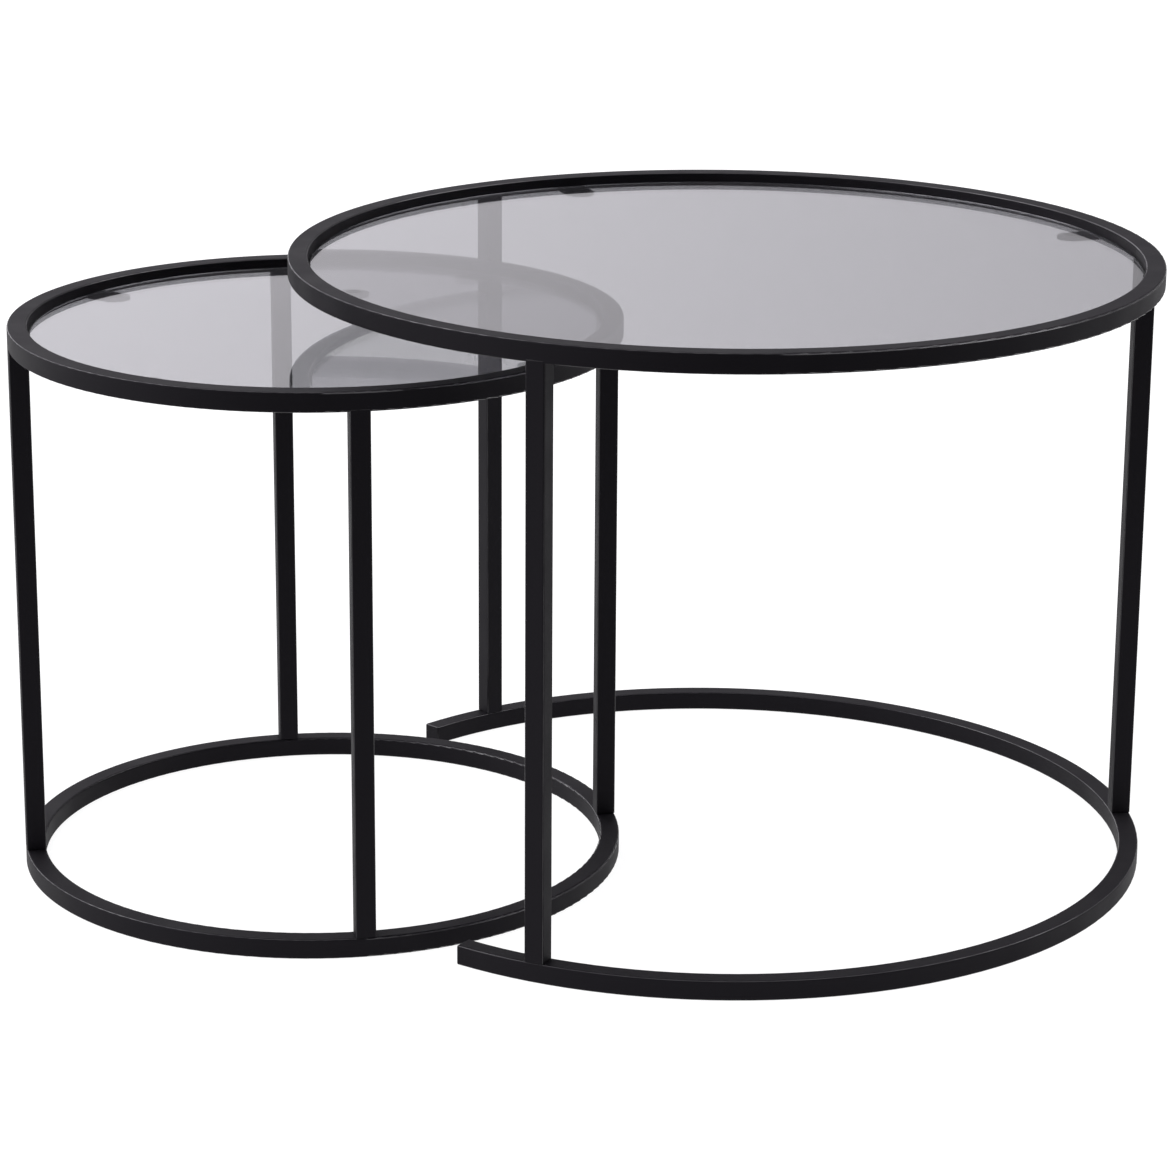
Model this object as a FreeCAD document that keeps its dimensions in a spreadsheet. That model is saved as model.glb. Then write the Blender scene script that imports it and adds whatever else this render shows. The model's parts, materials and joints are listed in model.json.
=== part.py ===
import FreeCAD, Part
import math
import os
import Sketcher

# A nest of two round side tables of square steel tube with drop-in glass tops.
# Z is up from the floor, X runs along the path of the small table towards the
# right leg of the large one, and the origin is the middle of the footprint on
# the floor. Every piece is its own object, placed where it is in the nest.

doc = FreeCAD.newDocument("nesting_tables")

# Driving dimensions: alias, value, note. Millimetres, and degrees for angles.
dimensions = [
    ("tubeSide", 16.0, "outer side of the square tube"),
    ("tubeWall", 1.5, "wall of the square tube"),
    ("tubeCorner", 1.5, "outer corner radius of the tube"),
    ("legEndRound", 0.5, "rounding of the foot end of a leg"),
    ("largeRadius", 350.0, "outer radius of the large top ring and its base"),
    ("largeHeight", 500.0, "floor to the top of the large ring"),
    ("smallRadius", 245.0, "outer radius of the small top ring and its base"),
    ("nestGap", 34.0, "top of the small ring to the underside of the large ring"),
    ("slideClearance", 5.0, "small base to each end of the large base, beside it"),
    ("capThickness", 2.0, "plate that closes each end of the large base"),
    ("capRound", 1.2, "rounded rim of an end plate"),
    ("legAngleLeast", 60.0, "left legs of the large table, least angle from -X"),
    ("legPastEnd", 10.0, "least angle from a base end back to its leg"),
    ("pullOut", 327.5, "distance between the two table axes"),
    ("smallTurn", 6.5, "turn of the small table about its own axis"),
    ("largeTabTurn", 17.0, "angle of the first glass tab of the large table"),
    ("smallTabTurn", 45.0, "angle of a small glass tab from the leg before it"),
    ("tabWidth", 24.0, "width of a glass tab"),
    ("tabReach", 32.0, "how far a tab stands in from the ring"),
    ("tabThickness", 2.5, "plate of a tab"),
    ("padRadius", 6.0, "silicone pad on a tab"),
    ("padThickness", 0.8, "height of a pad, which carries the glass"),
    ("glassThickness", 5.0, "glass plate"),
    ("glassGap", 1.5, "glass edge to the inside of its ring"),
    ("glassEdge", 0.8, "polished round on both rims of the glass"),
    ("insertLength", 20.0, "threaded insert in the foot of a leg"),
    ("insertRound", 1.0, "corner radius of an insert"),
    ("fitGap", 0.05, "side gap of a pressed insert, plug or thread"),
    ("boltRadius", 2.5, "M5 shank"),
    ("boltHoleGap", 0.25, "shank to its hole in the base tube"),
    ("boltLength", 18.0, "shank under the head"),
    ("boltHeadRadius", 4.75, "button head"),
    ("boltHeadHeight", 2.75, "button head"),
    ("socketAcross", 3.0, "hexagon socket, across the flats"),
    ("socketDepth", 1.6, "hexagon socket"),
    ("accessGap", 0.5, "bolt head to the access hole under it"),
    ("plugHeight", 4.0, "plastic plug in an access hole"),
    ("plugWall", 1.0, "wall and floor of that plug"),
]

sheet = doc.addObject("Spreadsheet::Sheet", "dims")
for row, (alias, value, note) in enumerate(dimensions, start=1):
    sheet.set(f"A{row}", note)
    sheet.set(f"B{row}", str(value))
    sheet.setAlias(f"B{row}", alias)
doc.recompute()


def dim(alias):
    return float(sheet.get(alias))


# Expressions that more than one piece shares.
small_height = "(dims.largeHeight - dims.tubeSide - dims.nestGap)"
large_inside = "(dims.largeRadius - dims.tubeSide)"
end_reach = "(dims.smallRadius + dims.slideClearance + dims.capThickness)"
mouth_angle = f"asin({end_reach} / {large_inside})"
left_leg_turn = f"max(dims.legAngleLeast * 1 deg; {mouth_angle} + dims.legPastEnd * 1 deg)"
left_leg_angle = f"(180 deg - {left_leg_turn})"

near = 0.01  # how closely an edge's place is matched when it is picked

bolt_hole = "(dims.boltRadius + dims.boltHoleGap)"
access_hole = "(dims.boltHeadRadius + dims.accessGap)"

# The same figures as numbers, for placements.
tube = dim("tubeSide")
large_top = dim("largeHeight")
small_top = large_top - tube - dim("nestGap")
large_inner = dim("largeRadius") - tube
end_y = dim("smallRadius") + dim("slideClearance") + dim("capThickness")
mouth = math.degrees(math.asin(end_y / large_inner))
left_leg = 180.0 - max(dim("legAngleLeast"), mouth + dim("legPastEnd"))
large_x = (dim("pullOut") + dim("smallRadius") - dim("largeRadius")) / 2
small_x = large_x - dim("pullOut")

large_leg_count = 3  # one on the right, one each side of the open mouth
small_leg_count = 4
tabs_in_ring = 4

parts = []  # every finished sub-part


def finish(piece, label, placement):
    piece.Label = label
    piece.Placement = placement
    parts.append(piece)
    return piece


def about_axis(axis_x, angle, radius=0.0, height=0.0):
    """Placement at a radius and angle from a table's axis, turned to face out."""
    turn = FreeCAD.Rotation(FreeCAD.Vector(0, 0, 1), angle)
    offset = turn.multVec(FreeCAD.Vector(radius, 0, 0))
    return FreeCAD.Placement(FreeCAD.Vector(axis_x, 0, height) + offset, turn)


def origin_feature(body, role):
    return next(f for f in body.Origin.OriginFeatures if f.Role == role)


def new_sketch(body, name, role):
    sketch = body.newObject("Sketcher::SketchObject", name)
    sketch.AttachmentSupport = (origin_feature(body, role), [""])
    sketch.MapMode = "FlatFace"
    return sketch


def drive(sketch, kind, *geometry, to, start=1.0):
    """Adds a dimension to a sketch and binds it to an expression."""
    index = sketch.addConstraint(Sketcher.Constraint(kind, *geometry, start))
    sketch.setExpression(f"Constraints[{index}]", to)


def add_rectangle(sketch, width, height, corner):
    """Four constrained lines from a start corner; returns the first line's index."""
    x, y = corner
    points = [(x, y), (x + width, y), (x + width, y + height), (x, y + height)]
    first = sketch.GeometryCount
    for i, (px, py) in enumerate(points):
        qx, qy = points[(i + 1) % 4]
        sketch.addGeometry(Part.LineSegment(FreeCAD.Vector(px, py, 0), FreeCAD.Vector(qx, qy, 0)), False)
    for i in range(4):
        sketch.addConstraint(Sketcher.Constraint("Coincident", first + i, 2, first + (i + 1) % 4, 1))
    for i, kind in enumerate(("Horizontal", "Vertical", "Horizontal", "Vertical")):
        sketch.addConstraint(Sketcher.Constraint(kind, first + i))
    return first


def centred_square(sketch, side, to):
    """A square about the sketch's origin, its side bound to an expression."""
    first = add_rectangle(sketch, side, side, (-side / 2, -side / 2))
    sketch.addConstraint(Sketcher.Constraint("Symmetric", first, 1, first + 1, 2, -1, 1))
    drive(sketch, "DistanceX", first, 1, first, 2, to=to, start=side)
    drive(sketch, "DistanceY", first + 1, 1, first + 1, 2, to=to, start=side)


def section_square(sketch, radius, radius_name, inset):
    """The tube's section beside the axis: its outside, or its bore at an inset of one wall."""
    wall = dim("tubeWall") if inset else 0.0
    side = tube - 2 * wall
    first = add_rectangle(sketch, side, side, (radius - tube + wall, wall))
    side_to = "dims.tubeSide - 2 * dims.tubeWall" if inset else "dims.tubeSide"
    inner_to = f"dims.{radius_name} - dims.tubeSide" + (" + dims.tubeWall" if inset else "")
    drive(sketch, "DistanceX", first, 1, first, 2, to=side_to, start=side)
    drive(sketch, "DistanceY", first + 1, 1, first + 1, 2, to=side_to, start=side)
    drive(sketch, "DistanceX", -1, 1, first, 1, to=inner_to, start=radius - tube + wall)
    if inset:
        drive(sketch, "DistanceY", -1, 1, first, 1, to="dims.tubeWall", start=wall)
    else:
        sketch.addConstraint(Sketcher.Constraint("PointOnObject", first, 1, -1))


def add_circle(sketch, radius, to):
    """A circle about the sketch's origin, its radius bound to an expression."""
    index = sketch.addGeometry(Part.Circle(FreeCAD.Vector(0, 0, 0), FreeCAD.Vector(0, 0, 1), radius), False)
    sketch.addConstraint(Sketcher.Constraint("Coincident", index, 3, -1, 1))
    drive(sketch, "Radius", index, to=to, start=radius)


def add_pad(body, sketch, length):
    pad = body.newObject("PartDesign::Pad", "Pad")
    pad.Profile = sketch
    pad.setExpression("Length", length)
    sketch.Visibility = False
    doc.recompute()
    return pad


def round_edges(body, base, radius, wanted):
    """Fillets the edges of a base feature for which wanted(edge) is true."""
    names = [f"Edge{i}" for i, edge in enumerate(base.Shape.Edges, start=1) if wanted(edge)]
    fillet = body.newObject("PartDesign::Fillet", "Fillet")
    fillet.Base = (base, names)
    fillet.setExpression("Radius", radius)
    doc.recompute()
    return fillet


def upright_outer(side):
    """Picks the upright edges at the outer corners of a square pad."""
    def wanted(edge):
        box = edge.BoundBox
        reach = min(abs(box.Center.x), abs(box.Center.y))
        return box.ZLength > near and abs(reach - side / 2) < near
    return wanted


# Rings and base tubes

def tube_ring(name, radius_name, sweep=None):
    """Square tube bent to a circle, closed, or open about -X when a sweep is given."""
    radius = dim(radius_name)
    body = doc.addObject("PartDesign::Body", name)
    section = new_sketch(body, name + "_section", "XZ_Plane")
    section_square(section, radius, radius_name, inset=False)
    section_square(section, radius, radius_name, inset=True)
    doc.recompute()
    bend = body.newObject("PartDesign::Revolution", "Bend")
    bend.Profile = section
    bend.ReferenceAxis = (section, ["V_Axis"])
    if sweep is None:
        bend.Angle = 360
    else:
        bend.Midplane = True
        bend.setExpression("Angle", sweep)
    doc.recompute()

    def outer_rim(edge):
        box = edge.BoundBox
        at_face = min(abs(box.ZMin), abs(box.ZMin - tube)) < near
        return at_face and box.ZLength < near and hasattr(edge.Curve, "Radius")

    round_edges(body, bend, "dims.tubeCorner", outer_rim)
    return body


def leg_holes(body, name, radius_name, from_top, angle, count, spread):
    """The bolt's hole in the top wall, or the access hole below it, at one leg and then at the others."""
    height = tube if from_top else 0.0
    hole = dim("boltRadius") + dim("boltHoleGap") if from_top else dim("boltHeadRadius") + dim("accessGap")
    sketch = new_sketch(body, name, "XY_Plane")
    sketch.AttachmentOffset = FreeCAD.Placement(FreeCAD.Vector(0, 0, height), FreeCAD.Rotation())
    if from_top:
        sketch.setExpression("AttachmentOffset.Base.z", "dims.tubeSide")
    reach = dim(radius_name) - tube / 2
    turn = math.radians(angle[0])
    centre = FreeCAD.Vector(reach * math.cos(turn), reach * math.sin(turn), 0)
    ray = sketch.addGeometry(Part.LineSegment(FreeCAD.Vector(0, 0, 0), centre), True)
    circle = sketch.addGeometry(Part.Circle(centre, FreeCAD.Vector(0, 0, 1), hole), False)
    sketch.addConstraint(Sketcher.Constraint("Coincident", ray, 1, -1, 1))
    sketch.addConstraint(Sketcher.Constraint("Coincident", circle, 3, ray, 2))
    drive(sketch, "Distance", ray, to=f"dims.{radius_name} - dims.tubeSide / 2", start=reach)
    drive(sketch, "Radius", circle, to=bolt_hole if from_top else access_hole, start=hole)
    if angle[0]:
        drive(sketch, "Angle", -1, 1, ray, 1, to=angle[1], start=turn)
    else:
        sketch.addConstraint(Sketcher.Constraint("Horizontal", ray))
    doc.recompute()
    before = body.Shape.Volume
    pocket = body.newObject("PartDesign::Pocket", name + "_pocket")
    pocket.Profile = sketch
    pocket.setExpression("Length", "dims.tubeSide / 2")
    pocket.Reversed = not from_top
    doc.recompute()
    copies = body.newObject("PartDesign::PolarPattern", name + "_copies")
    copies.Originals = [pocket]
    copies.Axis = (origin_feature(body, "Z_Axis"), [""])
    copies.Reversed = bool(angle[0])
    copies.Occurrences = count
    if spread is None:
        copies.Angle = 360
    else:
        copies.setExpression("Angle", spread)
    body.Tip = copies
    doc.recompute()
    one_hole = math.pi * hole ** 2 * dim("tubeWall")
    if abs(before - body.Shape.Volume - count * one_hole) > one_hole / 10:
        raise RuntimeError(f"{name}: the holes do not go through one wall at every leg")


large_ring = tube_ring("large_top_ring", "largeRadius")
finish(large_ring, "large_top_ring", about_axis(large_x, 0, 0, large_top - tube))
small_ring = tube_ring("small_top_ring", "smallRadius")
finish(small_ring, "small_top_ring", about_axis(small_x, 0, 0, small_top - tube))

large_base = tube_ring("large_base_arc", "largeRadius", f"360 deg - 2 * {mouth_angle}")
first_hole = (left_leg, left_leg_angle)
hole_spread = f"2 * {left_leg_angle}"
leg_holes(large_base, "large_bolt_holes", "largeRadius", True, first_hole, large_leg_count, hole_spread)
leg_holes(large_base, "large_access_holes", "largeRadius", False, first_hole, large_leg_count, hole_spread)
finish(large_base, "large_base_arc", about_axis(large_x, 0))

small_base = tube_ring("small_base_ring", "smallRadius")
leg_holes(small_base, "small_bolt_holes", "smallRadius", True, (0, None), small_leg_count, None)
leg_holes(small_base, "small_access_holes", "smallRadius", False, (0, None), small_leg_count, None)
finish(small_base, "small_base_ring", about_axis(small_x, dim("smallTurn")))


# Plates that close the two ends of the large base

def end_cap(label, side):
    body = doc.addObject("PartDesign::Body", label)
    outline = new_sketch(body, label + "_outline", "XY_Plane")
    centred_square(outline, tube, "dims.tubeSide")
    plate = add_pad(body, outline, "dims.capThickness")
    corners = round_edges(body, plate, "dims.tubeCorner", upright_outer(tube))
    thickness = dim("capThickness")
    round_edges(body, corners, "dims.capRound", lambda edge: edge.BoundBox.ZMin > thickness - near)
    angle = side * (180.0 - mouth)
    centre = about_axis(large_x, angle, dim("largeRadius") - tube / 2, tube / 2)
    face_out = FreeCAD.Rotation(FreeCAD.Vector(1, 0, 0), -90 * side)
    finish(body, label, centre.multiply(FreeCAD.Placement(FreeCAD.Vector(0, 0, 0), face_out)))


end_cap("large_base_cap_back", 1)
end_cap("large_base_cap_front", -1)


# Legs, with the insert, bolt and access plug at the foot of each

def leg(label, placement, length):
    body = doc.addObject("PartDesign::Body", label)
    outline = new_sketch(body, label + "_outline", "XY_Plane")
    centred_square(outline, tube, "dims.tubeSide")
    centred_square(outline, tube - 2 * dim("tubeWall"), "dims.tubeSide - 2 * dims.tubeWall")
    post = add_pad(body, outline, length)
    corners = round_edges(body, post, "dims.tubeCorner", upright_outer(tube))
    bore = tube / 2 - dim("tubeWall")

    def foot_rim(edge):
        box = edge.BoundBox
        outside = max(abs(box.XMin), abs(box.XMax), abs(box.YMin), abs(box.YMax)) > bore + near
        return box.ZMax < near and outside

    round_edges(body, corners, "dims.legEndRound", foot_rim)
    finish(body, label, placement)


def leg_insert(label, placement):
    body = doc.addObject("PartDesign::Body", label)
    outline = new_sketch(body, label + "_outline", "XY_Plane")
    side = tube - 2 * (dim("tubeWall") + dim("fitGap"))
    centred_square(outline, side, "dims.tubeSide - 2 * (dims.tubeWall + dims.fitGap)")
    add_circle(outline, dim("boltRadius") + dim("fitGap"), "dims.boltRadius + dims.fitGap")
    block = add_pad(body, outline, "dims.insertLength")
    round_edges(body, block, "dims.insertRound", upright_outer(side))
    finish(body, label, placement)


def primitive(kind, name, **expressions):
    """A Part primitive whose properties are bound to the sheet."""
    solid = doc.addObject(kind, name)
    for key, expression in expressions.items():
        solid.setExpression(key.replace("_", "."), expression)
    return solid


def leg_bolt(label, placement):
    shank = primitive("Part::Cylinder", label + "_shank", Radius="dims.boltRadius",
                      Height="dims.boltLength")
    head = primitive("Part::Cylinder", label + "_head", Radius="dims.boltHeadRadius",
                     Height="dims.boltHeadHeight", Placement_Base_z="-dims.boltHeadHeight")
    whole = doc.addObject("Part::Fuse", label + "_blank")
    whole.Base, whole.Tool = head, shank
    socket = primitive("Part::Prism", label + "_socket", Circumradius="dims.socketAcross / sqrt(3)",
                       Height="dims.socketDepth", Placement_Base_z="-dims.boltHeadHeight")
    bolt = doc.addObject("Part::Cut", label)
    bolt.Base, bolt.Tool = whole, socket
    finish(bolt, label, placement)


def base_plug(label, placement):
    outer = primitive("Part::Cylinder", label + "_outer", Radius=f"{access_hole} - dims.fitGap",
                      Height="dims.plugHeight")
    inner = primitive("Part::Cylinder", label + "_inner", Height="dims.plugHeight",
                      Radius=f"{access_hole} - dims.fitGap - dims.plugWall",
                      Placement_Base_z="dims.plugWall")
    plug = doc.addObject("Part::Cut", label)
    plug.Base, plug.Tool = outer, inner
    finish(plug, label, placement)


def leg_set(table, axis_x, radius_name, legs, length):
    reach = dim(radius_name) - tube / 2
    for place, angle in legs.items():
        leg(f"{table}_leg_{place}", about_axis(axis_x, angle, reach, tube), length)
        leg_insert(f"{table}_leg_insert_{place}", about_axis(axis_x, angle, reach, tube))
        leg_bolt(f"{table}_leg_bolt_{place}", about_axis(axis_x, angle, reach, tube - dim("tubeWall")))
        base_plug(f"{table}_base_plug_{place}", about_axis(axis_x, angle, reach))


small_turn = dim("smallTurn")
large_legs = {"right": 0.0, "back": left_leg, "front": -left_leg}
small_legs = {place: small_turn + 360 / small_leg_count * number
              for number, place in enumerate(("right", "back", "left", "front"))}
leg_set("large", large_x, "largeRadius", large_legs, "dims.largeHeight - 2 * dims.tubeSide")
leg_set("small", small_x, "smallRadius", small_legs, f"{small_height} - 2 * dims.tubeSide")


# Tabs inside each top ring, the pads on them and the glass that drops in

def glass_tab(label, radius_name, placement):
    inside = f"(dims.{radius_name} - dims.tubeSide)"
    tip = f"{inside} - dims.tabReach + dims.tabWidth / 2"
    tongue = primitive("Part::Box", label + "_tongue", Length="dims.tabReach", Width="dims.tabWidth",
                       Height="dims.tabThickness", Placement_Base_x=tip,
                       Placement_Base_y="-dims.tabWidth / 2")
    nose = primitive("Part::Cylinder", label + "_nose", Radius="dims.tabWidth / 2",
                     Height="dims.tabThickness", Placement_Base_x=tip)
    blank = doc.addObject("Part::Fuse", label + "_blank")
    blank.Base, blank.Tool = tongue, nose
    ring_bore = primitive("Part::Cylinder", label + "_ring_bore", Radius=inside, Height="dims.tabThickness")
    tab = doc.addObject("Part::Common", label)
    tab.Base, tab.Tool = blank, ring_bore
    finish(tab, label, placement)


def glass_pad(label, placement):
    pad = primitive("Part::Cylinder", label, Radius="dims.padRadius", Height="dims.padThickness")
    finish(pad, label, placement)


def glass_top(label, radius_name, placement):
    body = doc.addObject("PartDesign::Body", label)
    outline = new_sketch(body, label + "_outline", "XY_Plane")
    radius = dim(radius_name) - tube - dim("glassGap")
    add_circle(outline, radius, f"dims.{radius_name} - dims.tubeSide - dims.glassGap")
    plate = add_pad(body, outline, "dims.glassThickness")
    round_edges(body, plate, "dims.glassEdge", lambda edge: edge.BoundBox.ZLength < near)
    finish(body, label, placement)


def glass_set(table, axis_x, radius_name, first_angle, ring_foot):
    pad_reach = dim(radius_name) - tube - dim("tabReach") + dim("tabWidth") / 2
    pad_foot = ring_foot + dim("tabThickness")
    for number in range(tabs_in_ring):
        angle = first_angle + 360 / tabs_in_ring * number
        glass_tab(f"{table}_glass_tab_{number + 1}", radius_name, about_axis(axis_x, angle, 0, ring_foot))
        glass_pad(f"{table}_glass_pad_{number + 1}", about_axis(axis_x, angle, pad_reach, pad_foot))
    glass_top(f"{table}_glass_top", radius_name, about_axis(axis_x, 0, 0, pad_foot + dim("padThickness")))


glass_set("large", large_x, "largeRadius", dim("largeTabTurn"), large_top - tube)
glass_set("small", small_x, "smallRadius", small_turn + dim("smallTabTurn"), small_top - tube)


# Check everything, then write one file for each sub-part

doc.recompute()
for item in doc.Objects:
    if "Invalid" in item.State or "Error" in item.State:
        raise RuntimeError(f"{item.Label}: {item.State}")
for piece in parts:
    if piece.Shape.isNull() or not piece.Shape.isValid() or len(piece.Shape.Solids) != 1:
        raise RuntimeError(f"{piece.Label}: its shape is not one valid solid")

os.makedirs("parts", exist_ok=True)
for piece in parts:
    piece.Shape.exportStep(f"parts/{piece.Label}.step")
print(len(parts), "sub-parts written")
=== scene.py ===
import json
import math

import bmesh
import bpy
from mathutils import Matrix, Vector


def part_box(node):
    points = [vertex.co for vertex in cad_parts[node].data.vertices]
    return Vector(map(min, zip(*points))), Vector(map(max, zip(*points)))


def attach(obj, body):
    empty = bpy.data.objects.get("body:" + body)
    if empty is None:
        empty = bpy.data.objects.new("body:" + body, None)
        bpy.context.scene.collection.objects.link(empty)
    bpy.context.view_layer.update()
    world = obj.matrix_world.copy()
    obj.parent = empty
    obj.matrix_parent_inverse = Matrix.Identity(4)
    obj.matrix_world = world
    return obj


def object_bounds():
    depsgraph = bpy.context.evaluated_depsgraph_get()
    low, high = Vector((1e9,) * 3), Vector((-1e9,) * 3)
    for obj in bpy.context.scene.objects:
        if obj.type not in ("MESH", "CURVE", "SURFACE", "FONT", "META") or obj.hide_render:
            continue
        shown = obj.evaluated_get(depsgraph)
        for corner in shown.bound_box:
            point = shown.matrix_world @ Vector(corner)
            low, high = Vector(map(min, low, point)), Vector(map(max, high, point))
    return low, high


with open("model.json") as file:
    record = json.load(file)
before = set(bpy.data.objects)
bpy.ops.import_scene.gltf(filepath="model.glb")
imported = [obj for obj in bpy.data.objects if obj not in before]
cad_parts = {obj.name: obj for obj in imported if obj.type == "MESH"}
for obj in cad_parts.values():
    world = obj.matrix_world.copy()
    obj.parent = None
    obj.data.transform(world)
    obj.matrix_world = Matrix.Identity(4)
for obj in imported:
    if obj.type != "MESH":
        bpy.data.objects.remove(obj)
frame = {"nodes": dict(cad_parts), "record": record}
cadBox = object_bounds()
nodes = frame["nodes"]
scene = bpy.context.scene
print("frame loaded:", len(nodes), "nodes")

# camera

cameraView = {
    "azimuth": -4.94,  # degrees, from straight in front
    "elevation": 16.89,
    "roll": 0.37,
    "distance": 3.179,
    "aimHeight": 0.223,
    "lens": 119.4,  # millimetres
    "farthest": 50,
}


def makeCamera(view):
    azimuth, elevation = math.radians(view["azimuth"]), math.radians(view["elevation"])
    level = math.cos(elevation)
    back = Vector((math.sin(azimuth) * level, -math.cos(azimuth) * level, math.sin(elevation)))
    camera = bpy.data.objects.new("camera", bpy.data.cameras.new("camera"))
    scene.collection.objects.link(camera)
    camera.data.lens = view["lens"]
    camera.data.clip_end = view["farthest"]
    middle = (cadBox[0] + cadBox[1]) / 2
    aim = Vector((middle.x, middle.y, view["aimHeight"]))
    roll = Matrix.Rotation(math.radians(view["roll"]), 3, "Z")
    turn = (-back).to_track_quat("-Z", "Y").to_matrix() @ roll
    camera.matrix_world = Matrix.Translation(aim + back * view["distance"]) @ turn.to_4x4()
    scene.camera = camera


makeCamera(cameraView)
print("camera placed")


# where each table stands, read from its top ring
def tablePlan(name):
    low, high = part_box(name + "_top_ring")
    return {
        "name": name,
        "axis": Vector(((low.x + high.x) / 2, (low.y + high.y) / 2, 0)),
        "radius": (high.x - low.x) / 2,
        "tube": high.z - low.z,
        "ringFoot": low.z,
        "coat": None,  # filled in once the coat is made
    }


def outwardOf(table, name):
    low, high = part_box(name)
    return (((low + high) / 2 - table["axis"]) * Vector((1, 1, 0))).normalized()


tables = [tablePlan("large"), tablePlan("small")]

# node helpers


def newMaterial(name):
    material = bpy.data.materials.new(name)
    material.use_nodes = True
    tree = material.node_tree
    return material, tree, next(node for node in tree.nodes if node.type == "BSDF_PRINCIPLED")


def feed(tree, socket, value):
    if isinstance(value, bpy.types.NodeSocket):
        tree.links.new(value, socket)
    else:
        socket.default_value = value


def addNode(tree, kind, inputs=None, **settings):
    node = tree.nodes.new(kind)
    for key, value in settings.items():
        setattr(node, key, value)
    for key, value in (inputs or {}).items():
        feed(tree, node.inputs[key], value)
    return node


def maths(tree, operation, *values):
    return addNode(tree, "ShaderNodeMath", dict(enumerate(values)), operation=operation).outputs[0]


def vectorMaths(tree, operation, first, second=(0, 0, 0)):
    node = addNode(tree, "ShaderNodeVectorMath", {0: first, 1: second}, operation=operation)
    return node.outputs["Value" if operation == "DOT_PRODUCT" else 0]


def heightOf(tree, vector):
    return addNode(tree, "ShaderNodeSeparateXYZ", {0: vector}).outputs["Z"]


def remap(tree, value, span, levels=(0.0, 1.0), curve="SMOOTHSTEP"):
    inputs = {"Value": value, "From Min": span[0], "From Max": span[1],
              "To Min": levels[0], "To Max": levels[1]}
    return addNode(tree, "ShaderNodeMapRange", inputs, interpolation_type=curve).outputs[0]


def mixColour(tree, share, first, second):
    inputs = {"Factor": share, 6: first, 7: second}
    return addNode(tree, "ShaderNodeMix", inputs, data_type="RGBA").outputs[2]


def noise(tree, place, size, detail=2.0, distortion=0.0):
    scale = maths(tree, "DIVIDE", 1.0, size)
    inputs = {"Vector": place, "Scale": scale, "Detail": detail, "Distortion": distortion}
    return addNode(tree, "ShaderNodeTexNoise", inputs).outputs[0]


def bump(tree, height, depth):
    return addNode(tree, "ShaderNodeBump", {"Height": height, "Distance": depth}).outputs[0]


def newGroup(name, inputs, outputs):
    group = bpy.data.node_groups.new(name, "ShaderNodeTree")
    for label, value in inputs.items():
        kind = "NodeSocketColor" if isinstance(value, tuple) else "NodeSocketFloat"
        group.interface.new_socket(label, in_out="INPUT", socket_type=kind).default_value = value
    for label in outputs:
        kind = "NodeSocketColor" if label == "Colour" else "NodeSocketFloat"
        group.interface.new_socket(label, in_out="OUTPUT", socket_type=kind)
    return group, group.nodes.new("NodeGroupInput").outputs, group.nodes.new("NodeGroupOutput").inputs


def placeGroup(tree, group, inputs):
    return addNode(tree, "ShaderNodeGroup", inputs, node_tree=group).outputs


# orange peel: the fine pebble of a baked coat or a moulded part, with slow clouds of tone and gloss

peelShape = {
    "peelInTone": 0.3,
    "toneSpan": (0.4, 0.9),
    "glossSpan": (0.3, 0.7),
    "glossSpread": (0.94, 1.07),
    "pits": 0.4,
    "cloudDetail": 5.0,
}


def makeOrangePeel(shape):
    group, given, result = newGroup(
        "orangePeel",
        {"Base": (0.02, 0.02, 0.02, 1), "Tone": 0.1, "Gloss": 0.5, "Peel Size": 0.001, "Cloud Size": 0.05},
        ["Colour", "Roughness", "Height"])
    place = addNode(group, "ShaderNodeTexCoord").outputs["Object"]
    peel = noise(group, place, given["Peel Size"])
    pitScale = maths(group, "DIVIDE", 1.0, given["Peel Size"])
    pit = addNode(group, "ShaderNodeTexVoronoi", {"Vector": place, "Scale": pitScale}).outputs["Distance"]
    cloud = noise(group, place, given["Cloud Size"], detail=shape["cloudDetail"])
    levels = (maths(group, "SUBTRACT", 1.0, given["Tone"]), maths(group, "ADD", 1.0, given["Tone"]))
    mottle = maths(group, "ADD", cloud, maths(group, "MULTIPLY", peel, shape["peelInTone"]))
    tone = remap(group, mottle, shape["toneSpan"], levels)
    shade = addNode(group, "ShaderNodeVectorMath", {0: given["Base"], "Scale": tone}, operation="SCALE")
    spread = remap(group, cloud, shape["glossSpan"], shape["glossSpread"])
    group.links.new(shade.outputs[0], result["Colour"])
    group.links.new(maths(group, "MULTIPLY", given["Gloss"], spread), result["Roughness"])
    pitted = maths(group, "SUBTRACT", peel, maths(group, "MULTIPLY", pit, shape["pits"]))
    group.links.new(pitted, result["Height"])
    return group


# worn corners: where a face turns between outward, upright and along the ring, hands rub the coat smooth

wearShape = {
    "turn": (0.1, 0.25),
    "patchSize": 0.02,
    "patchSpan": (0.3, 0.6),
    "patchLevels": (0.55, 1.0),
}


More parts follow.
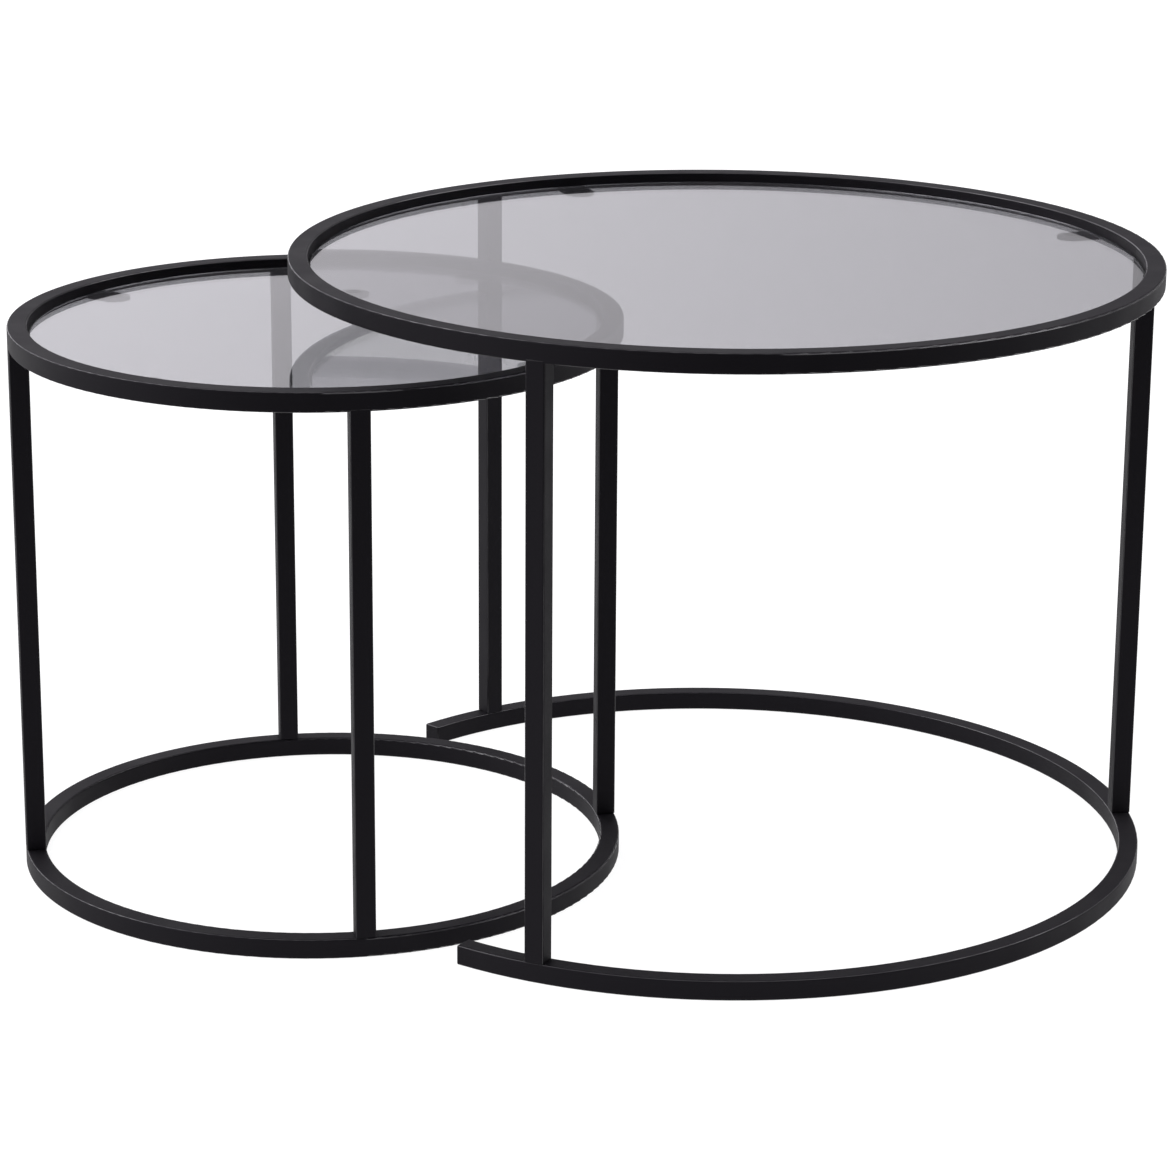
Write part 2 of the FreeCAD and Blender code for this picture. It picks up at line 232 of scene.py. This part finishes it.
def makeWornCorners(shape):
    group, given, result = newGroup("wornCorners", {"Axis X": 0.0, "Wear": 1.0}, ["Mask"])
    coords = addNode(group, "ShaderNodeTexCoord").outputs
    centre = addNode(group, "ShaderNodeCombineXYZ", {"X": given["Axis X"]}).outputs[0]
    reach = vectorMaths(group, "SUBTRACT", coords["Object"], centre)
    outward = vectorMaths(group, "NORMALIZE", vectorMaths(group, "MULTIPLY", reach, (1, 1, 0)))
    along = vectorMaths(group, "CROSS_PRODUCT", outward, (0, 0, 1))
    facing = 0.0
    for direction in (outward, along, (0, 0, 1)):
        share = maths(group, "ABSOLUTE", vectorMaths(group, "DOT_PRODUCT", coords["Normal"], direction))
        facing = maths(group, "MAXIMUM", facing, share)
    turned = remap(group, maths(group, "SUBTRACT", 1.0, facing), shape["turn"])
    patch = noise(group, coords["Object"], shape["patchSize"])
    worn = maths(group, "MULTIPLY", turned, remap(group, patch, shape["patchSpan"], shape["patchLevels"]))
    group.links.new(maths(group, "MULTIPLY", worn, given["Wear"]), result["Mask"])
    return group


# dust: a thin uneven film on whatever faces up

dustShape = {
    "upright": (0.5, 0.95),
    "driftSpan": (0.35, 0.7),
    "driftLevels": (0.4, 1.0),
    "driftDetail": 3.0,
    "speckSpan": (0.4, 0.7),
    "speckLevels": (0.6, 1.0),
    "speckDetail": 1.0,
}


def makeDust(shape):
    inputs = {"Amount": 0.1, "Speck Size": 0.002, "Drift Size": 0.12}
    group, given, result = newGroup("dust", inputs, ["Mask"])
    coords = addNode(group, "ShaderNodeTexCoord").outputs
    drift = noise(group, coords["Object"], given["Drift Size"], detail=shape["driftDetail"])
    speck = noise(group, coords["Object"], given["Speck Size"], detail=shape["speckDetail"])
    film = remap(group, heightOf(group, coords["Normal"]), shape["upright"])
    film = maths(group, "MULTIPLY", film, remap(group, drift, shape["driftSpan"], shape["driftLevels"]))
    film = maths(group, "MULTIPLY", film, remap(group, speck, shape["speckSpan"], shape["speckLevels"]))
    group.links.new(maths(group, "MULTIPLY", film, given["Amount"]), result["Mask"])
    return group


orangePeel = makeOrangePeel(peelShape)
wornCorners = makeWornCorners(wearShape)
dust = makeDust(dustShape)

# coats and mouldings: peel under dust

powderCoat = {
    "colour": (0.0031, 0.0028, 0.0036, 1),
    "sheen": (1.03, 0.97, 1.11, 1),  # tint of what it mirrors
    "tone": 0.15,
    "gloss": 0.6,
    "ior": 1.22,
    "peelSize": 0.0009,
    "peelDepth": 0.00003,
    "cloudSize": 0.05,
    "dustColour": (0.05, 0.046, 0.047, 1),
    "dust": 0.06,
    "speckSize": 0.002,
    "driftSize": 0.12,
    "wear": 1.0,
    "wearRoughness": 0.2,  # of the coat where it is worn
}
siliconePad = {
    "colour": (0.022, 0.022, 0.023, 1),
    "tone": 0.12,
    "gloss": 0.62,
    "peelSize": 0.0004,
    "peelDepth": 0.00001,
    "cloudSize": 0.01,
    "dustColour": (0.12, 0.115, 0.11, 1),
    "dust": 0.3,
    "speckSize": 0.0006,
    "driftSize": 0.01,
}
plugPlastic = {
    "colour": (0.018, 0.018, 0.019, 1),
    "tone": 0.12,
    "gloss": 0.55,
    "peelSize": 0.0003,
    "peelDepth": 0.00002,
    "cloudSize": 0.01,
    "dustColour": (0.09, 0.085, 0.08, 1),
    "dust": 0.2,
    "speckSize": 0.0006,
    "driftSize": 0.01,
}


def makePebbled(name, look):
    material, tree, shader = newMaterial(name)
    peel = placeGroup(tree, orangePeel, {
        "Base": look["colour"],
        "Tone": look["tone"],
        "Gloss": look["gloss"],
        "Peel Size": look["peelSize"],
        "Cloud Size": look["cloudSize"],
    })
    film = placeGroup(tree, dust, {
        "Amount": look["dust"],
        "Speck Size": look["speckSize"],
        "Drift Size": look["driftSize"],
    })["Mask"]
    feed(tree, shader.inputs["Base Color"], mixColour(tree, film, peel["Colour"], look["dustColour"]))
    feed(tree, shader.inputs["Roughness"], peel["Roughness"])
    feed(tree, shader.inputs["Normal"], bump(tree, peel["Height"], look["peelDepth"]))
    return material, tree, shader


def makePowderCoat(look, table):
    material, tree, shader = makePebbled(table["name"] + "PowderCoat", look)
    worn = placeGroup(tree, wornCorners, {"Axis X": table["axis"].x, "Wear": look["wear"]})["Mask"]
    feed(tree, shader.inputs["Coat Weight"], worn)
    shader.inputs["Coat Roughness"].default_value = look["wearRoughness"]
    shader.inputs["IOR"].default_value = look["ior"]
    shader.inputs["Specular Tint"].default_value = look["sheen"]
    return material


# smoked float glass: faint roller wave, wipe marks on the faces and a ground edge

smokeGlass = {
    "colour": (0.336, 0.334, 0.355, 1),
    "clearness": 0.955,
    "ior": 1.52,
    "wipe": 0.012,
    "wipeSize": 0.06,
    "wipeStretch": (1.0, 0.25, 1.0),
    "wipeSpan": (0.5, 0.8),
    "wipeDetail": 4.0,
    "wipeSwirl": 1.5,
    "edgeColour": (0.3, 0.32, 0.33, 1),
    "edgeRoughness": 0.06,
    "edgeSpan": (0.97, 0.75),
    "waveLength": 0.05,
    "waveDepth": 0.0000015,
}
waveScale = 0.314  # a Wave texture at this scale repeats once a metre


def makeSmokeGlass(look):
    material, tree, shader = newMaterial("smokeGlass")
    coords = addNode(tree, "ShaderNodeTexCoord").outputs
    edge = remap(tree, maths(tree, "ABSOLUTE", heightOf(tree, coords["Normal"])), look["edgeSpan"])
    stroke = addNode(tree, "ShaderNodeMapping", {"Vector": coords["Object"], "Scale": look["wipeStretch"]})
    smear = noise(tree, stroke.outputs[0], look["wipeSize"], look["wipeDetail"], look["wipeSwirl"])
    wiped = remap(tree, smear, look["wipeSpan"], (0.0, look["wipe"]))
    wave = addNode(tree, "ShaderNodeTexWave", {"Vector": coords["Object"], "Distortion": 1.0, "Detail": 1.0,
                                               "Scale": waveScale / look["waveLength"]}).outputs["Fac"]
    ground = maths(tree, "MULTIPLY", edge, look["edgeRoughness"])
    feed(tree, shader.inputs["Base Color"], mixColour(tree, edge, look["colour"], look["edgeColour"]))
    feed(tree, shader.inputs["Roughness"], maths(tree, "ADD", wiped, ground))
    feed(tree, shader.inputs["Normal"], bump(tree, wave, look["waveDepth"]))
    shader.inputs["Transmission Weight"].default_value = look["clearness"]
    shader.inputs["IOR"].default_value = look["ior"]
    return material


# zinc plate on the hidden bolts and inserts, with the threads as a wave up their length

zincSteel = {
    "colour": (0.56, 0.57, 0.58, 1),
    "stain": (0.5, 0.46, 0.38, 1),
    "stainSize": 0.0045,
    "stainDetail": 4.0,
    "stainSpan": (0.5, 0.75),
    "mostStain": 0.6,
    "glossSpan": (0.3, 0.7),
    "gloss": (0.26, 0.42),
    "threadPitch": 0.0008,
    "threadDepth": 0.00025,
}


def makeZincSteel(look):
    material, tree, shader = newMaterial("zincSteel")
    place = addNode(tree, "ShaderNodeTexCoord").outputs["Object"]
    stain = noise(tree, place, look["stainSize"], look["stainDetail"])
    thread = addNode(tree, "ShaderNodeTexWave", {"Vector": place, "Scale": waveScale / look["threadPitch"]},
                     bands_direction="Z").outputs["Fac"]
    share = remap(tree, stain, look["stainSpan"], (0.0, look["mostStain"]))
    feed(tree, shader.inputs["Base Color"], mixColour(tree, share, look["colour"], look["stain"]))
    feed(tree, shader.inputs["Roughness"], remap(tree, stain, look["glossSpan"], look["gloss"]))
    feed(tree, shader.inputs["Normal"], bump(tree, thread, look["threadDepth"]))
    shader.inputs["Metallic"].default_value = 1.0
    return material


finishes = {
    "smoke_glass": makeSmokeGlass(smokeGlass),
    "silicone_pad": makePebbled("siliconePad", siliconePad)[0],
    "plug_plastic": makePebbled("plugPlastic", plugPlastic)[0],
    "zinc_steel": makeZincSteel(zincSteel),
}


def finishNodes():
    slotOf = {part["node"]: part["material_slot"] for part in frame["record"]["subparts"]}
    for table in tables:
        table["coat"] = makePowderCoat(powderCoat, table)
        for name in nodes:
            if name.startswith(table["name"]):
                nodes[name].data.materials.clear()
                nodes[name].data.materials.append(finishes.get(slotOf[name], table["coat"]))


finishNodes()
print("finishes set on", len(nodes), "nodes")

# welds: beads along both sides of each leg and on each tab, and the ground fill that makes leg and ring one


# skins a row of rims, each with the same number of points, and closes both ends
def loftWeld(name, table, rims):
    count = len(rims[0])
    points = [point for rim in rims for point in rim]
    faces = [tuple(range(count)), tuple(range(len(points) - count, len(points)))]
    for first in range(0, len(points) - count, count):
        for step in range(count):
            after = (step + 1) % count
            faces.append((first + step, first + after, first + after + count, first + step + count))
    mesh = bpy.data.meshes.new(name)
    mesh.from_pydata(points, [], faces)
    shape = bmesh.new()
    shape.from_mesh(mesh)
    bmesh.ops.recalc_face_normals(shape, faces=shape.faces)
    shape.to_mesh(mesh)
    shape.free()
    for polygon in mesh.polygons:
        polygon.use_smooth = len(polygon.vertices) == 4  # the two ends stay flat
    mesh.materials.append(table["coat"])
    weld = bpy.data.objects.new(name, mesh)
    scene.collection.objects.link(weld)
    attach(weld, table["name"] + "_frame")


legBead = {
    "size": 0.0009,
    "sunk": 0.0004,  # how far it goes into both faces
    "bulge": 0.35,  # 0 is a straight chamfer, 1 a full round
    "arcSteps": 5,
    "stations": 40,
    "inset": 0.002,
    "endSize": 0.45,
    "endTaper": 6,
    "ripple": 0.13,
    "rippleStep": 0.0014,
    "drift": 5.1,
    "driftShare": 0.5,
}
tabBead = {**legBead, "size": 0.0011, "stations": 60, "halfWidth": 0.0099}


def beadSize(look, share, length, seed):
    taper = min(1.0, look["endSize"] + look["endTaper"] * min(share, 1 - share))
    ripple = math.sin(2 * math.pi * share * length / look["rippleStep"] + seed)
    drift = math.sin(look["drift"] * share + 2 * seed) * look["driftShare"]  # slower than the ripple
    return look["size"] * taper * (1 + look["ripple"] * (ripple + drift))


# a bead fills the corner between two faces, one facing each way given
def layBead(name, table, start, end, sideways, upward, look, seed):
    rims = []
    for station in range(look["stations"] + 1):
        share = station / look["stations"]
        size = beadSize(look, share, (end - start).length, seed) + look["sunk"]
        corner = start.lerp(end, share) - (sideways + upward) * look["sunk"]
        rim = [corner]
        for step in range(look["arcSteps"] + 1):
            turn = math.pi / 2 * step / look["arcSteps"]
            flat = 1 / (math.cos(turn) + math.sin(turn))
            radius = size * (flat + look["bulge"] * (1 - flat))
            rim.append(corner + (sideways * math.cos(turn) + upward * math.sin(turn)) * radius)
        rims.append(rim)
    loftWeld(name, table, rims)


groundFill = {
    "corner": 0.0016,
    "cornerSteps": 6,
    "proud": 0.00003,
    # each step's height as a share of the corner, and how far it stands out as a share of proud
    "steps": ((-0.5, -1.0), (-0.25, 0.5), (1 / 3, 1.0), (0.8, 0.5), (1.1, -1.0)),
}


# carries the leg's rounded square up over the lower corners of the ring
def fillLegTop(name, table, foot, out, along, look):
    corner = look["corner"]
    flat = table["tube"] / 2 - corner
    rims = []
    for height, growth in look["steps"]:
        radius = corner + growth * look["proud"]
        rim = []
        for quarter, (signOut, signAlong) in enumerate(((1, 1), (-1, 1), (-1, -1), (1, -1))):
            for step in range(look["cornerSteps"] + 1):
                angle = math.pi / 2 * (quarter + step / look["cornerSteps"])
                reachOut = signOut * flat + radius * math.cos(angle)
                reachAlong = signAlong * flat + radius * math.sin(angle)
                rim.append(foot + out * reachOut + along * reachAlong + Vector((0, 0, height * corner)))
        rims.append(rim)
    loftWeld(name, table, rims)


def weldLeg(name, table):
    out = outwardOf(table, name)
    along = Vector((-out.y, out.x, 0))
    foot = table["axis"] + out * (table["radius"] - table["tube"] / 2) + Vector((0, 0, table["ringFoot"]))
    reach = out * (table["tube"] / 2 - legBead["inset"])
    for seed, side in enumerate((along, -along)):
        corner = foot + side * table["tube"] / 2
        label = name.replace("_leg_", "_leg_weld_") + "_" + "ab"[seed]
        layBead(label, table, corner - reach, corner + reach, side, Vector((0, 0, -1)), legBead, seed)
    fillLegTop(name.replace("_leg_", "_leg_fill_"), table, foot, out, along, groundFill)


def weldTab(name, table, seed):
    out = outwardOf(table, name)
    width = Vector((-out.y, out.x, 0)) * tabBead["halfWidth"]
    wall = table["axis"] + out * (table["radius"] - table["tube"]) + Vector((0, 0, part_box(name)[1].z))
    layBead(name.replace("_tab_", "_tab_weld_"), table, wall - width, wall + width, -out, Vector((0, 0, 1)),
            tabBead, seed)


for table in tables:
    parts = [name for name in nodes if name.startswith(table["name"] + "_leg_")]
    legs = [name for name in parts if "insert" not in name and "bolt" not in name]
    tabs = [name for name in nodes if name.startswith(table["name"] + "_glass_tab_")]
    for name in legs:
        weldLeg(name, table)
    for seed, name in enumerate(tabs):
        weldTab(name, table, seed)
    print(table["name"], "table welded:", len(legs), "legs and", len(tabs), "tabs")

# floor, bright enough to be lost in the backdrop, and faded out in front where only the coat would see it

paleFloor = {
    "side": 8.0,
    "sunk": 0.0001,  # keeps it clear of the undersides
    "colour": (0.2, 0.2, 0.2, 1),
    "glow": 0.92,
    "fade": (-1.7, -0.8),  # clear up to the first, solid from the second
}


def makeFloor(look):
    side, sunk = look["side"], -look["sunk"]
    corners = [(-side, -side, sunk), (side, -side, sunk), (side, side, sunk), (-side, side, sunk)]
    mesh = bpy.data.meshes.new("paleFloor")
    mesh.from_pydata(corners, [], [(0, 1, 2, 3)])
    floor = bpy.data.objects.new("paleFloor", mesh)
    scene.collection.objects.link(floor)
    material, tree, shader = newMaterial("paleFloor")
    shader.inputs["Base Color"].default_value = look["colour"]
    shader.inputs["Roughness"].default_value = 1.0
    shader.inputs["Specular IOR Level"].default_value = 0.0
    shader.inputs["Emission Color"].default_value = (1, 1, 1, 1)
    shader.inputs["Emission Strength"].default_value = look["glow"]
    place = addNode(tree, "ShaderNodeTexCoord").outputs["Object"]
    depth = addNode(tree, "ShaderNodeSeparateXYZ", {0: place}).outputs["Y"]
    feed(tree, shader.inputs["Alpha"], remap(tree, depth, look["fade"]))
    mesh.materials.append(material)


makeFloor(paleFloor)

# studio light: white behind and to the left, dark towards the camera, a soft box high on either side

studio = {
    "tint": (1.012, 0.99, 1.04, 1),
    "backLeft": 1.48,
    "backRight": 0.26,
    "backSpan": (-0.3, 0.4),
    "front": 0.03,
    "depthSpan": (-0.5, 0.5),
    "left": 2.4,
    "right": 0.6,
    "sideSpan": (-0.8, 0.8),
    "sideFrom": (0.4, 0.9),
    "top": 1.6,
    "topFrom": (0.55, 0.95),
    "below": 0.04,
    "belowFrom": (0.0, -0.12),
    "box": 3.6,
    "boxFrom": (0.64, 0.23, 0.73),
    "boxEdge": (0.945, 0.975),  # cosines of the angle from its middle
}


def makeStudio(look):
    world = bpy.data.worlds.new("studio")
    scene.world = world
    world.use_nodes = True
    tree = world.node_tree
    tree.nodes.clear()
    direction = addNode(tree, "ShaderNodeTexCoord").outputs["Generated"]
    x, y, z = addNode(tree, "ShaderNodeSeparateXYZ", {0: direction}).outputs
    width = maths(tree, "ABSOLUTE", x)

    def blend(first, second, share):
        return addNode(tree, "ShaderNodeMix", {0: share, 2: first, 3: second}, data_type="FLOAT").outputs[0]

    back = remap(tree, x, look["backSpan"], (look["backLeft"], look["backRight"]), curve="LINEAR")
    level = blend(look["front"], back, remap(tree, y, look["depthSpan"]))
    side = remap(tree, x, look["sideSpan"], (look["left"], look["right"]))
    level = blend(level, side, remap(tree, width, look["sideFrom"]))
    level = blend(level, look["top"], remap(tree, z, look["topFrom"]))
    folded = addNode(tree, "ShaderNodeCombineXYZ", {0: width, 1: y, 2: z}).outputs[0]
    toward = vectorMaths(tree, "DOT_PRODUCT", folded, Vector(look["boxFrom"]).normalized())
    level = maths(tree, "ADD", level, remap(tree, toward, look["boxEdge"], (0.0, look["box"])))
    level = blend(level, look["below"], remap(tree, z, look["belowFrom"]))
    seen = addNode(tree, "ShaderNodeLightPath").outputs["Is Camera Ray"]
    colour = mixColour(tree, seen, look["tint"], (1, 1, 1, 1))  # the camera itself sees plain white
    light = addNode(tree, "ShaderNodeBackground", {"Color": colour, "Strength": blend(level, 1.0, seen)})
    addNode(tree, "ShaderNodeOutputWorld", {"Surface": light.outputs[0]})


makeStudio(studio)
scene.view_settings.view_transform = "Standard"
print("floor and light set")
